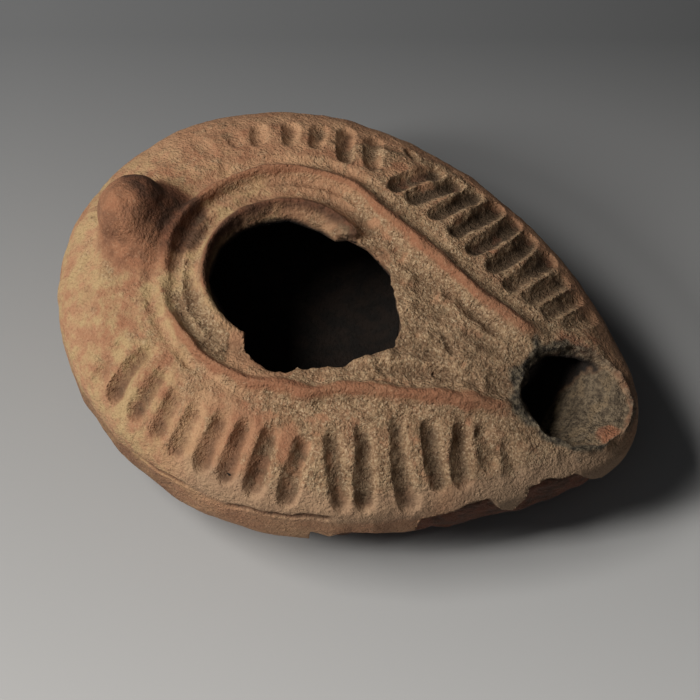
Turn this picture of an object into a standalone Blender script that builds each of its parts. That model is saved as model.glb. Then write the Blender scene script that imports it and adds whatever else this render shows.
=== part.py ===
"""Terracotta oil lamp: a hollow, mould-made clay lamp of pointed oval plan.

One fired piece: the body, its knob handle, the moulded ridges and the fluted
shoulder are a single solid.  The lamp is empty and open: a filling hole with a
broken edge near the knob, and a wick hole at the tip of the nozzle.

Frame: metres, +Z up, nozzle towards +X, knob towards -X.  The lamp stands on
its flat underside at z = 0, and the origin is under the middle of its length
and width.
"""

import bpy
import bmesh
from math import sin, cos, pi, radians, degrees, hypot, atan2, sqrt, exp
from mathutils import Vector, Matrix

MM = 0.001

# ---------------------------------------------------------------- named sizes
LENGTH = 96.0 * MM            # nozzle tip to back of the body
WIDTH = 70.04 * MM            # widest point, a little behind the middle
SEAM_Z = 18.0 * MM            # height of the seam between the two mould halves
TOP_RISE = 11.72 * MM         # crown of the upper half above the seam
CENTRE_X = -12.0 * MM         # centre of the round part of the body
SHIFT = (0.60 * MM, -0.09 * MM)   # brings the middle of the box over the origin

TAPER, TAPER_POWER = 0.685, 0.384     # how the plan narrows to the nozzle
TOP_Q, TOP_Z = 2.4, 1.994             # fullness of the upper half
LOW_Q, LOW_Z, LOW_Z_NOZZLE = 2.17, 3.2, 2.06   # fullness of the lower half
BASE_Q, BASE_Q_NOZZLE = 0.50, 0.62    # flat base as a share of the plan
LOPSIDED = (0.010, -0.002, 0.006, 0.004)       # hand-pressed unevenness, sines
LOPSIDED_COS = (-0.013, 0.002)                 # and cosines of 3 and 4 turns

WALL = 3.5 * MM               # clay thickness at the side and the floor
WALL_TOP = 3.2 * MM           # clay thickness of the upper half
WALL_TIP = 2.3 * MM           # clay thickness at the nozzle tip

KNOB_FOOT = (-33.6 * MM, -0.2 * MM, 23.4 * MM)  # knob handle: foot and head
KNOB_HEAD = (-37.8 * MM, 0.9 * MM, 28.8 * MM)
KNOB_FOOT_R, KNOB_HEAD_R = 9.2 * MM, 6.2 * MM
KNOB_FACE = (0.79, -0.05, 0.61, -6.3 * MM)     # flat face towards the hole: normal, offset

RING_CENTRE = (-11.6 * MM, 0.2 * MM)  # raised ring round the filling hole
RING_R, RING_TUBE = 12.9 * MM, 2.1 * MM
RING_FROM, RING_TO = 50.0, 252.0      # degrees; the rest is broken away
HOLE_CENTRE = (-12.45 * MM, -0.1 * MM)
HOLE_R = 10.75 * MM                   # filling hole as it was pressed

# corners of the break that enlarged the filling hole, in millimetres
BREAK_CORNERS = ((-15.5, -9.2), (-13.4, -11.0), (-11.9, -13.8), (-9.9, -14.8), (-7.6, -15.8), (-5.1, -14.7),
                 (-4.0, -13.2), (0.9, -11.1), (3.7, -8.9), (6.1, -6.0), (8.4, -4.2), (8.2, -1.1), (6.2, 2.1),
                 (3.5, 5.5), (1.2, 7.9), (-2.4, 9.4), (-6.0, 9.6), (-12.0, 6.0))

RIDGE_BACK = (-11.0 * MM, 0.0, 19.3 * MM)      # outer ridge: round back, x y r
RIDGE_FRONT = (30.0 * MM, -0.2 * MM, 6.6 * MM)  # and round front at the wick hole
RIDGE_TUBE = 1.9 * MM
RIDGE_SINK = 0.75 * MM        # how far the ridge's centre lies below the skin
DISH = 0.9 * MM               # the field inside the outer ridge is dished

WICK_CENTRE = (37.3 * MM, 0.6 * MM)
WICK_HALF = (7.8 * MM, 7.1 * MM)      # half length and half width of wick hole

# flutes of the shoulder: (first angle, step, count) in the rear fans, and
# (first x, pitch, count) in the front rows, on the -Y and the +Y side
FAN_NEAR = (-61.5, -9.1, 8)
FAN_FAR = (79.5, 10.2, 7)
ROW_NEAR = (4.5 * MM, 4.45 * MM, 6)
ROW_FAR = (-2.5 * MM, 3.70 * MM, 10)
FLUTE_HALF_WIDTH, FLUTE_DEPTH = 1.1 * MM, 1.3 * MM

# where the upper half's edge is broken and the lower half shows behind it
STEP_FROM, STEP_TO, STEP_DEPTH = -56.0, -10.0, 1.3 * MM

SEGMENTS, RINGS, BASE_RINGS = 88, 26, 2
CAVITY_SEGMENTS, CAVITY_RINGS = 44, 16


# ------------------------------------------------------------- plan and skins
def plan_table(count=720):
    """Half outline of the plan as (angle about the round centre, radius)."""
    rows, peak = [], 0.0
    for i in range(count + 1):
        t = pi * i / count
        g = sin(t) * (1 + TAPER * cos(t)) ** TAPER_POWER
        rows.append((-LENGTH / 2 * cos(t), g))
        peak = max(peak, g)
    polar = [(atan2(g / peak * WIDTH / 2, x - CENTRE_X), hypot(g / peak * WIDTH / 2, x - CENTRE_X)) for x, g in rows]
    return sorted(polar)


PLAN = plan_table()


def plan_radius(angle):
    """Distance from the round centre to the plan's edge, at any angle."""
    a = abs((angle + pi) % (2 * pi) - pi)
    lo, hi = 0, len(PLAN) - 1
    while hi - lo > 1:
        mid = (lo + hi) // 2
        if PLAN[mid][0] > a:
            hi = mid
        else:
            lo = mid
    (a0, r0), (a1, r1) = PLAN[lo], PLAN[hi]
    r = r0 if a1 <= a0 else r0 + (r1 - r0) * min(max((a - a0) / (a1 - a0), 0.0), 1.0)
    k = 1.0 + sum(s * sin((i + 1) * angle) for i, s in enumerate(LOPSIDED))
    return r * (k + LOPSIDED_COS[0] * cos(3 * angle) + LOPSIDED_COS[1] * cos(4 * angle))


def share(x, y):
    """How far out a point lies: 0 at the round centre, 1 at the plan's edge."""
    return hypot(x - CENTRE_X, y) / plan_radius(atan2(y, x - CENTRE_X))


def window(value, low, high, soft):
    """1 between low and high, falling smoothly to 0 over soft on both sides."""
    a = min(max((value - low) / soft + 0.5, 0.0), 1.0)
    b = min(max((high - value) / soft + 0.5, 0.0), 1.0)
    a, b = a * a * (3 - 2 * a), b * b * (3 - 2 * b)
    return a * b


def ridge_distance(x, y):
    """Signed distance to the outer ridge's line: negative inside the field."""
    ax, ay, ar = RIDGE_BACK
    bx, by, br = RIDGE_FRONT
    dx, dy = bx - ax, by - ay
    span = hypot(dx, dy)
    u, v = ((x - ax) * dx + (y - ay) * dy) / span, abs(-(x - ax) * dy + (y - ay) * dx) / span
    s = (ar - br) / span
    c = sqrt(1 - s * s)
    k = u * c - v * s
    if k < 0:
        return hypot(u, v) - ar
    if k > c * span:
        return hypot(u - span, v) - br
    return u * s + v * c - ar


def top_height(x, y, rise=TOP_RISE):
    q = min(share(x, y), 1.0)
    return SEAM_Z + rise * (1 - q ** TOP_Q) ** (1 / TOP_Z)


def skin_height(x, y):
    """Upper surface, with the field inside the outer ridge dished."""
    return top_height(x, y) - DISH * window(ridge_distance(x, y), -99.0, -2.6 * MM, 3.0 * MM)


def nozzle_weight(angle):
    return (0.5 * (1 + cos(angle))) ** 12


def low_share(angle, t):
    """Share of the plan that the lower half fills at t, seam 0 to base 1."""
    w = nozzle_weight(angle)
    base = BASE_Q * (1 - w) + BASE_Q_NOZZLE * w
    power = LOW_Z * (1 - w) + LOW_Z_NOZZLE * w
    return base + (1 - base) * max(1 - t ** power, 0.0) ** (1 / LOW_Q)


def normal_at(x, y, d=0.4 * MM):
    dx = (top_height(x + d, y) - top_height(x - d, y)) / (2 * d)
    dy = (top_height(x, y + d) - top_height(x, y - d)) / (2 * d)
    return Vector((-dx, -dy, 1)).normalized()


# ------------------------------------------------------------------- helpers
def clear_scene():
    for obj in list(bpy.data.objects):
        bpy.data.objects.remove(obj, do_unlink=True)


def new_collection(name):
    coll = bpy.data.collections.new(name)
    bpy.context.scene.collection.children.link(coll)
    return coll


def add_object(name, bm, coll):
    bmesh.ops.recalc_face_normals(bm, faces=bm.faces)
    mesh = bpy.data.meshes.new(name)
    bm.to_mesh(mesh)
    bm.free()
    mesh.shade_smooth()
    mesh.set_sharp_from_angle(angle=radians(50))
    obj = bpy.data.objects.new(name, mesh)
    coll.objects.link(obj)
    return obj


def curve_to_object(name, curve, coll):
    """Turn a curve into a closed mesh, its caps welded on."""
    temp = bpy.data.objects.new(name + "_curve", curve)
    coll.objects.link(temp)
    bpy.context.view_layer.update()
    graph = bpy.context.evaluated_depsgraph_get()
    mesh = bpy.data.meshes.new_from_object(temp.evaluated_get(graph))
    bm = bmesh.new()
    bm.from_mesh(mesh)
    bmesh.ops.remove_doubles(bm, verts=bm.verts, dist=0.00002)
    bpy.data.meshes.remove(mesh)
    bpy.data.objects.remove(temp, do_unlink=True)
    return add_object(name, bm, coll)


def as_cutter(obj):
    obj.hide_render = True
    obj.display_type = 'WIRE'
    return obj


def boolean(target, other, operation):
    mod = target.modifiers.new(other.name, 'BOOLEAN')
    mod.operation = operation
    mod.solver = 'EXACT'
    mod.object = other
    return mod


# ---------------------------------------------------------------- the shapes
def body_blank(coll):
    """The closed outer form: a sphere whose rings become the lamp's sections."""
    bm = bmesh.new()
    bmesh.ops.create_uvsphere(bm, u_segments=SEGMENTS, v_segments=RINGS, radius=1.0)
    half = RINGS // 2
    wall_rings = half - BASE_RINGS
    for v in bm.verts:
        polar = atan2(hypot(v.co.x, v.co.y), v.co.z)
        angle = atan2(v.co.y, v.co.x)
        ring = round(polar / pi * RINGS)
        edge = plan_radius(angle)
        if ring <= half:
            q = sin(pi / 2 * ring / half) ** (2 / TOP_Q)
            x, y = CENTRE_X + q * edge * cos(angle), q * edge * sin(angle)
            z = skin_height(x, y)
        else:
            k = ring - half
            psi = pi / 2 * min(k / wall_rings, 1.0)
            t = sin(psi) ** (2 / LOW_Z)
            q = low_share(angle, t)
            z = SEAM_Z * (1 - t)
            if k > wall_rings:
                q *= (half - k) / (half - wall_rings)
            # the lower half shows behind the broken edge of the upper one
            step = STEP_DEPTH * window(degrees(angle), STEP_FROM, STEP_TO, 8.0)
            r = q * edge - step * window(k, 0.6, wall_rings - 0.5, 1.0)
            x, y = CENTRE_X + r * cos(angle), r * sin(angle)
        v.co = (x, y, z)
    flat = [f for f in bm.faces if all(v.co.z < 1e-7 for v in f.verts)]
    bmesh.ops.dissolve_faces(bm, faces=flat, use_verts=True)
    return add_object("lamp_body", bm, coll)


def cavity(coll):
    """The hollow: the same form, smaller by the thickness of the clay."""
    bm = bmesh.new()
    bmesh.ops.create_uvsphere(bm, u_segments=CAVITY_SEGMENTS, v_segments=CAVITY_RINGS, radius=1.0)
    half = CAVITY_RINGS // 2
    for v in bm.verts:
        polar = atan2(hypot(v.co.x, v.co.y), v.co.z)
        angle = atan2(v.co.y, v.co.x)
        ring = round(polar / pi * CAVITY_RINGS)
        w = nozzle_weight(angle)
        edge = plan_radius(angle) - (WALL * (1 - w) + WALL_TIP * w)
        if ring <= half:
            q = sin(pi / 2 * ring / half) ** (2 / TOP_Q)
            z = SEAM_Z + (TOP_RISE - DISH - WALL_TOP) * (1 - q ** TOP_Q) ** (1 / TOP_Z)
        else:
            psi = pi / 2 * (ring - half) / half
            t = sin(psi) ** (2 / LOW_Z)
            # towards the nozzle the floor rises in a ramp to the tip
            q = low_share(angle, t) * (1 - w) + (1 - 0.30 * t) * w
            if ring == CAVITY_RINGS:
                q = 0.0
            z = SEAM_Z - (SEAM_Z - WALL) * t
            q -= STEP_DEPTH / edge * window(degrees(angle), STEP_FROM, STEP_TO, 8.0) * window(t, 0.3, 0.97, 0.3)
            q = max(q, 0.0)
        v.co = (CENTRE_X + q * edge * cos(angle), q * edge * sin(angle), z)
    bmesh.ops.remove_doubles(bm, verts=bm.verts, dist=0.00005)
    return as_cutter(add_object("hollow", bm, coll))


def knob(coll):
    """Stout knob handle: a sphere drawn out from its foot to its round head."""
    bm = bmesh.new()
    bmesh.ops.create_uvsphere(bm, u_segments=20, v_segments=12, radius=1.0)
    foot, head = Vector(KNOB_FOOT), Vector(KNOB_HEAD)
    axis = (head - foot).normalized()
    turn = Vector((0, 0, 1)).rotation_difference(axis).to_matrix()
    face = Vector(KNOB_FACE[:3]).normalized()
    for v in bm.verts:
        n = v.co.copy()
        # upper half of the sphere is the head, lower half the wider foot
        radius, centre = (KNOB_HEAD_R, head) if n.z >= -1e-6 else (KNOB_FOOT_R, foot)
        v.co = centre + turn @ (n * radius)
        out = max(v.co.dot(face) - KNOB_FACE[3], 0.0)
        v.co -= face * out
    return as_cutter(add_object("knob_form", bm, coll))


def ring_ridge(coll):
    """What is left of the raised ring round the filling hole."""
    curve = bpy.data.curves.new("ring", 'CURVE')
    curve.dimensions = '3D'
    curve.bevel_depth = 1.0
    curve.bevel_resolution = 2
    curve.use_fill_caps = True
    steps = 30
    spline = curve.splines.new('POLY')
    spline.points.add(steps)
    for i in range(steps + 1):
        deg = RING_FROM + (RING_TO - RING_FROM) * i / steps
        x = RING_CENTRE[0] + RING_R * cos(radians(deg))
        y = RING_CENTRE[1] + RING_R * sin(radians(deg))
        z = top_height(x, y) - 0.55 * MM
        spline.points[i].co = (x, y, z, 1)
        # full height at the back, worn down towards its eroded end
        worn = min(max((RING_TO - deg) / 70.0, 0.0), 1.0)
        spline.points[i].radius = RING_TUBE * (0.62 + 0.38 * worn)
    return as_cutter(curve_to_object("ring_form", curve, coll))


def outer_ridge_points(step=2.2 * MM):
    """Line of the outer ridge: two arcs joined by their tangents, left open
    at the wick hole."""
    ax, ay, ar = RIDGE_BACK
    bx, by, br = RIDGE_FRONT
    base = atan2(by - ay, bx - ax)
    span = hypot(bx - ax, by - ay)
    lean = pi / 2 - math_asin((ar - br) / span)
    pts = []
    n_back = int(2 * (pi - lean) * ar / step)
    upper = [(bx + br * cos(base + a), by + br * sin(base + a)) for a in (lean * 0.78, lean)]
    p0 = upper[-1]
    p1 = (ax + ar * cos(base + lean), ay + ar * sin(base + lean))
    n_side = int(hypot(p1[0] - p0[0], p1[1] - p0[1]) / step)
    pts += upper[:1]
    pts += [(p0[0] + (p1[0] - p0[0]) * i / n_side, p0[1] + (p1[1] - p0[1]) * i / n_side) for i in range(n_side)]
    for i in range(n_back + 1):
        a = base + lean + (2 * pi - 2 * lean) * i / n_back
        pts.append((ax + ar * cos(a), ay + ar * sin(a)))
    q0 = (bx + br * cos(base - lean), by + br * sin(base - lean))
    q1 = pts[-1]
    pts += [(q1[0] + (q0[0] - q1[0]) * i / n_side, q1[1] + (q0[1] - q1[1]) * i / n_side) for i in range(1, n_side + 1)]
    pts.append((bx + br * cos(base - lean * 0.78), by + br * sin(base - lean * 0.78)))
    return pts


def math_asin(v):
    return atan2(v, sqrt(max(1 - v * v, 0.0)))


def outer_ridge(coll):
    curve = bpy.data.curves.new("ridge", 'CURVE')
    curve.dimensions = '3D'
    curve.bevel_depth = 1.0
    curve.bevel_resolution = 2
    curve.use_fill_caps = True
    pts = outer_ridge_points()
    spline = curve.splines.new('POLY')
    spline.points.add(len(pts) - 1)
    for p, (x, y) in zip(spline.points, pts):
        p.co = (x, y, top_height(x, y) - RIDGE_SINK, 1)
        p.radius = RIDGE_TUBE
    return as_cutter(curve_to_object("ridge_form", curve, coll))


def flute_lines():
    """Every flute of the shoulder as (inner x, y, outer x, y)."""
    lines = []

    def at(q, deg):
        r = q * plan_radius(radians(deg))
        return CENTRE_X + r * cos(radians(deg)), r * sin(radians(deg))

    def reach(x, y, deg, q_out):
        """Walk from a point along a direction to a given share of the plan."""
        d = 0.0
        while share(x + d * cos(radians(deg)), y + d * sin(radians(deg))) < q_out and d < 20 * MM:
            d += 0.2 * MM
        return x + d * cos(radians(deg)), y + d * sin(radians(deg))

    first, step, count = FAN_NEAR
    for i in range(count):
        deg = first + step * i
        x, y = at(0.725, deg)
        lines.append((x, y) + reach(x, y, -90 + 0.45 * (deg + 90), 0.925 - 0.012 * max(i - 4, 0)))
    first, step, count = FAN_FAR
    for i in range(count):
        deg = first + step * i
        x, y = at(0.735, deg)
        lines.append((x, y) + reach(x, y, deg + 24 - 3.0 * i, 0.87 - 0.01 * i))
    for side, (x0, pitch, count), lean in ((-1, ROW_NEAR, (-56, 0.4)), (1, ROW_FAR, (55, 2.2))):
        for i in range(count):
            x = x0 + pitch * i
            y = side * 40 * MM
            while ridge_distance(x, y) > 3.7 * MM:
                y -= side * 0.1 * MM
            deg = lean[0] + lean[1] * min(i, 9)
            lines.append((x, y) + reach(x, y, deg, 0.93 if i < count - 2 else 0.90))
    return lines


def flutes(coll):
    """Long shallow hollows pressed into the shoulder, round at both ends."""
    bm = bmesh.new()
    for x0, y0, x1, y1 in flute_lines():
        length = hypot(x1 - x0, y1 - y0)
        if length < 3 * MM:
            continue
        mx, my = (x0 + x1) / 2, (y0 + y1) / 2
        a = Vector((x0, y0, top_height(x0, y0)))
        b = Vector((x1, y1, top_height(x1, y1)))
        along = (b - a).normalized()
        up = normal_at(mx, my)
        side = up.cross(along).normalized()
        up = along.cross(side).normalized()
        middle = Vector((mx, my, top_height(mx, my)))
        new = bmesh.ops.create_uvsphere(bm, u_segments=8, v_segments=6, radius=1.0)['verts']
        for v in new:
            p = v.co.copy()
            v.co = middle + up * (0.35 * MM) + along * (p.z * (b - a).length * 0.60) + side * (p.x * FLUTE_HALF_WIDTH * 1.15) + up * (p.y * (FLUTE_DEPTH + 0.35 * MM))
    return as_cutter(add_object("flute_forms", bm, coll))


def hole_prism(name, outline, low, high, coll):
    """A flat outline given thickness, as a cutter."""
    curve = bpy.data.curves.new(name, 'CURVE')
    curve.dimensions = '2D'
    curve.fill_mode = 'BOTH'
    curve.extrude = (high - low) / 2
    spline = curve.splines.new('POLY')
    spline.points.add(len(outline) - 1)
    for p, (x, y) in zip(spline.points, outline):
        p.co = (x, y, 0, 1)
    spline.use_cyclic_u = True
    obj = curve_to_object(name, curve, coll)
    obj.data.transform(Matrix.Translation((0, 0, (low + high) / 2)))
    return as_cutter(obj)


def filling_hole(coll):
    """Round part of the filling hole, slightly wider above."""
    bm = bmesh.new()
    bmesh.ops.create_cone(bm, cap_ends=True, segments=36, radius1=HOLE_R - 0.4 * MM, radius2=HOLE_R + 1.0 * MM, depth=18 * MM)
    bmesh.ops.translate(bm, verts=bm.verts, vec=(HOLE_CENTRE[0], HOLE_CENTRE[1], SEAM_Z + 13 * MM))
    return as_cutter(add_object("filling_hole_form", bm, coll))


def wick_hole(coll):
    """Egg-shaped wick hole, its sides leaning in below."""
    bm = bmesh.new()
    bmesh.ops.create_cone(bm, cap_ends=True, segments=28, radius1=0.86, radius2=1.06, depth=14 * MM)
    for v in bm.verts:
        v.co.x = WICK_CENTRE[0] + v.co.x * WICK_HALF[0]
        v.co.y = WICK_CENTRE[1] + v.co.y * WICK_HALF[1]
        v.co.z += SEAM_Z + 3.0 * MM
    return as_cutter(add_object("wick_hole_form", bm, coll))


def clay_material():
    mat = bpy.data.materials.new("fired_clay")
    mat.use_nodes = True
    shader = next(n for n in mat.node_tree.nodes if n.type == 'BSDF_PRINCIPLED')
    shader.inputs['Base Color'].default_value = (0.36, 0.22, 0.14, 1.0)
    shader.inputs['Roughness'].default_value = 0.9
    shader.inputs['Metallic'].default_value = 0.0
    mat.diffuse_color = (0.36, 0.22, 0.14, 1.0)
    return mat


def main():
    clear_scene()
    parts = new_collection("terracotta_oil_lamp")
    cutters = new_collection("lamp_cutters")
    body = body_blank(parts)
    body.data.materials.append(clay_material())
    boolean(body, knob(cutters), 'UNION')
    boolean(body, outer_ridge(cutters), 'UNION')
    boolean(body, ring_ridge(cutters), 'UNION')
    boolean(body, flutes(cutters), 'DIFFERENCE')
    boolean(body, cavity(cutters), 'DIFFERENCE')
    boolean(body, filling_hole(cutters), 'DIFFERENCE')
    boolean(body, hole_prism("break_form", [(x * MM, y * MM) for x, y in BREAK_CORNERS], SEAM_Z + 3 * MM, SEAM_Z + 20 * MM, cutters), 'DIFFERENCE')
    boolean(body, wick_hole(cutters), 'DIFFERENCE')
    for obj in list(parts.objects) + list(cutters.objects):
        obj.location = (SHIFT[0], SHIFT[1], 0.0)


main()
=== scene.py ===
import math
import bpy
import numpy as np
from mathutils import Matrix, Vector


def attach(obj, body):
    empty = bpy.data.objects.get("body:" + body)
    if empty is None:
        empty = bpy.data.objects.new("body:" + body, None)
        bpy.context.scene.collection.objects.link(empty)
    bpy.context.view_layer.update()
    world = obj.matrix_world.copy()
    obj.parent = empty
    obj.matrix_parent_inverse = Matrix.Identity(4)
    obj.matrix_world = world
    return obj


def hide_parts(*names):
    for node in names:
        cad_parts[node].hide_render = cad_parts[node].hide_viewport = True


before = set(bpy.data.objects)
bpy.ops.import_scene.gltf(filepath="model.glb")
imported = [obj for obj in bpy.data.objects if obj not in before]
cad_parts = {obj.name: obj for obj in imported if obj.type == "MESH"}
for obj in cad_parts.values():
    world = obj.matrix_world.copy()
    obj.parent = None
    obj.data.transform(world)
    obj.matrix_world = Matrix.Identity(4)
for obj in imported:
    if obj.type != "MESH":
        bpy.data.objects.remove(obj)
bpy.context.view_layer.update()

# All lengths in the modelling functions are in millimetres, in the lamp's own
# axes: nozzle towards +X, knob towards -X, +Z up.  The finished mesh is moved
# by SHIFT and scaled to metres.
SHIFT = np.array([0.60, -0.09, 0.0])

# ------------------------------------------------------------------ base form
LENGTH, WIDTH = 96.0, 70.04
ZS = 18.0                      # height of the mould seam
RISE = 11.72                   # crown of the upper half above the seam
XC = -12.0                     # centre of the round part
TAPER, TAPER_POWER = 0.685, 0.384
TOP_Q, TOP_Z = 2.4, 1.994
LOW_Q, LOW_Z, LOW_Z_NOZZLE = 2.17, 3.2, 2.06
BASE_Q, BASE_Q_NOZZLE = 0.50, 0.62
LOPSIDED = (0.010, -0.002, 0.006, 0.004)
LOPSIDED_COS = (-0.013, 0.002)
WALL = 3.3
RING = (-11.6, 0.2, 12.9)      # crest of the raised ring round the filling hole
HOLE = (-12.6, 0.25, 11.05)    # round part of the hole, at the upper surface
HOLE_LEAN = (0.094, -0.25)     # its drift per millimetre of depth
BREAK = ((-15.5, -9.0), (-14.4, -10.3), (-13.4, -10.9), (-12.6, -12.5), (-11.9, -13.7), (-9.9, -14.7), (-7.6, -15.8),
         (-6.1, -15.4), (-5.1, -14.6), (-4.0, -13.2), (-1.6, -12.0), (0.9, -11.1), (2.7, -10.0), (3.7, -8.9),
         (4.6, -7.6), (6.1, -6.0), (8.1, -4.7), (8.5, -4.1), (8.1, -2.3), (8.2, -1.1), (7.4, 0.4), (6.2, 2.1),
         (4.9, 4.2), (3.5, 5.5), (2.7, 6.9), (1.2, 7.9), (-0.7, 8.9), (-2.4, 9.5), (-3.8, 9.9), (-6.0, 9.9),
         (-9.0, 9.9), (-12.0, 8.0))
RIDGE_BACK = (-11.0, 0.1, 19.6)  # outer ridge: round back, then two sides that draw in to the wick hole
RIDGE_X = (-5.0, 0.0, 5.0, 10.0, 15.0, 20.0, 25.0, 30.0, 36.0)
RIDGE_MID = (-0.2, -0.6, -0.4, -0.5, -0.5, -0.35, -0.25, -0.2, -0.2)
RIDGE_HALF = (18.0, 16.4, 14.2, 12.3, 10.5, 8.85, 7.45, 6.8, 6.6)
WICK = (37.6, 0.6, 7.6, 6.9)   # centre and half sizes of the wick hole
KNOB_FOOT, KNOB_FOOT_R = np.array([-33.6, -0.2, 23.3]), 9.1
KNOB_HEAD, KNOB_HEAD_R = np.array([-37.8, 0.9, 28.7]), 6.1
KNOB_FACE = (0.79, -0.05, 0.61, -6.5)  # flat face towards the hole: normal and offset

# flutes of the shoulder: inner end x, y, outer end x, y, depth, sideways bend
NEAR_FLUTES = (
    (-30.6, -19.3, -32.0, -25.3, 0.50, 0.0), (-25.7, -19.3, -28.8, -26.6, 1.10, -0.3), (-22.2, -21.8, -24.4, -28.3, 1.10, 0.0),
    (-19.0, -24.0, -19.8, -30.3, 0.95, 0.2), (-15.2, -25.2, -15.9, -31.8, 0.95, 0.2), (-10.8, -24.8, -11.4, -32.4, 1.05, 0.1),
    (-7.1, -24.6, -7.3, -32.6, 1.15, 0.1), (-2.9, -24.2, -2.6, -32.6, 1.20, 0.0), (2.2, -23.6, 2.6, -32.0, 1.15, 0.0),
    (5.7, -21.4, 10.7, -29.2, 1.10, -0.2), (9.8, -18.6, 14.1, -27.8, 1.20, -0.2), (13.8, -15.6, 20.4, -25.4, 1.10, -0.5),
    (18.7, -13.6, 23.2, -21.0, 1.20, -0.2), (22.9, -12.2, 26.6, -19.2, 1.05, -0.2), (26.2, -10.8, 29.4, -15.4, 0.75, 0.0),
    (30.4, -11.2, 33.0, -14.6, 0.60, 0.0))
BACK_FLUTES = (
    (-31.2, 15.8, -35.9, 19.2, 0.30, -0.3), (-28.5, 19.6, -31.4, 22.9, 0.45, 0.0), (-25.2, 20.8, -27.6, 25.4, 0.70, -0.2),
    (-20.8, 22.6, -23.2, 28.0, 0.85, -0.3), (-16.7, 24.0, -18.4, 29.4, 0.85, -0.1), (-11.3, 23.4, -14.2, 30.9, 1.20, 0.0),
    (-6.8, 24.0, -9.7, 31.0, 0.95, 0.1))
FAN_FLUTES = (
    (-2.5, 22.0, 2.7, 29.3, 1.45, 0.1), (1.0, 20.9, 6.4, 28.9, 1.50, 0.0), (5.3, 19.5, 9.6, 28.8, 1.50, -0.2),
    (9.4, 18.0, 13.3, 28.0, 1.55, -0.2), (13.2, 16.3, 16.8, 26.7, 1.55, -0.5), (17.1, 15.0, 19.9, 25.0, 1.55, -0.7),
    (20.8, 13.1, 24.0, 23.2, 1.45, -0.5), (24.4, 12.3, 27.4, 20.2, 1.30, -0.3), (27.9, 11.4, 30.7, 17.9, 1.20, -0.1),
    (31.4, 11.0, 34.0, 16.0, 0.90, 0.0))
# low ridges and grooves of the field between the channel's sides: points, height, half width
LINES = (
    (((4.0, -8.8), (8.0, -7.0), (12.0, -5.6), (17.0, -4.2), (20.0, -3.8)), 0.60, 1.4),
    (((8.5, -8.6), (14.0, -6.7), (19.0, -5.4), (23.0, -4.6)), -0.35, 0.9),
    (((12.0, 6.2), (16.0, 4.9), (20.0, 3.7), (24.0, 2.9)), 0.55, 1.3),
    (((14.5, 7.2), (17.0, 6.1), (20.5, 5.0)), -0.45, 0.8),
    (((12.0, -1.2), (16.0, -2.5), (20.0, -2.6)), 0.35, 1.4),
    (((14.3, 0.9), (15.3, 0.1), (17.3, -1.5)), -0.45, 0.8),
    (((-29.0, -7.5), (-25.5, -11.5), (-21.5, -14.6)), -0.60, 1.3),
    (((-29.0, 15.2), (-27.0, 13.2), (-28.2, 11.2)), -0.35, 0.9))
# crack along the seam of the two halves, near side
CRACK = ((-115.0, 16.6), (-104.0, 17.3), (-96.0, 18.2), (-84.0, 17.6), (-76.0, 18.4), (-70.0, 18.9), (-62.0, 18.5), (-55.0, 19.0))


def plan_table(count=1440):
    t = np.linspace(0, np.pi, count + 1)
    g = np.sin(t) * (1 + TAPER * np.cos(t)) ** TAPER_POWER
    x, y = -LENGTH / 2 * np.cos(t), WIDTH / 2 * g / g.max()
    a, r = np.arctan2(y, x - XC), np.hypot(y, x - XC)
    order = np.argsort(a)
    ang = np.linspace(-np.pi, np.pi, 4097)
    rad = np.interp(np.abs(ang), a[order], r[order])
    k = 1.0 + sum(s * np.sin((i + 1) * ang) for i, s in enumerate(LOPSIDED))
    rad = rad * (k + LOPSIDED_COS[0] * np.cos(3 * ang) + LOPSIDED_COS[1] * np.cos(4 * ang))
    # slight dents and flats of a hand-pressed rim, always inwards
    rad = rad - 0.10 - 0.10 * (1 + np.sin(17 * ang + 1.0)) * (0.5 + 0.5 * np.sin(5 * ang)) \
        - 0.07 * (1 + np.sin(41 * ang)) * (0.5 + 0.5 * np.cos(3 * ang + 2))
    return ang, rad, np.gradient(rad, ang)


ANG, RAD, DRAD = plan_table()


def smooth(x, lo, hi):
    t = np.clip((x - lo) / (hi - lo), 0.0, 1.0)
    return t * t * (3 - 2 * t)


def band(x, lo, hi, soft):
    return smooth(x, lo - soft / 2, lo + soft / 2) * (1 - smooth(x, hi - soft / 2, hi + soft / 2))


def smin(a, b, k):
    h = np.clip(0.5 + 0.5 * (b - a) / k, 0, 1)
    return b + (a - b) * h - k * h * (1 - h)


def smax(a, b, k):
    return -smin(-a, -b, k)


# ----------------------------------------------------------------------- noise
def lattice(ix, iy, iz, seed):
    h = (ix.astype(np.uint32) * np.uint32(374761393) + iy.astype(np.uint32) * np.uint32(668265263)
         + iz.astype(np.uint32) * np.uint32(2246822519) + np.uint32(seed) * np.uint32(3266489917))
    h = (h ^ (h >> np.uint32(13))) * np.uint32(1274126177)
    h = (h ^ (h >> np.uint32(15))) * np.uint32(2654435761)
    return ((h >> np.uint32(8)) & np.uint32(0xffff)).astype(np.float32) / 32767.5 - 1.0


def noise(x, y, z, size, seed):
    """Smooth noise in -1..1 with features of about this size in millimetres."""
    x, y, z = np.broadcast_arrays(x, y, z)
    p = [np.asarray(c, np.float32) / size + 100.0 for c in (x, y, z)]
    i = [np.floor(c).astype(np.int64) for c in p]
    f = [c - k for c, k in zip(p, i)]
    f = [c * c * c * (c * (c * 6 - 15) + 10) for c in f]
    out = 0.0
    for dx in (0, 1):
        wx = f[0] if dx else 1 - f[0]
        for dy in (0, 1):
            wy = f[1] if dy else 1 - f[1]
            for dz in (0, 1):
                wz = f[2] if dz else 1 - f[2]
                out = out + wx * wy * wz * lattice(i[0] + dx, i[1] + dy, i[2] + dz, seed)
    return out


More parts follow.
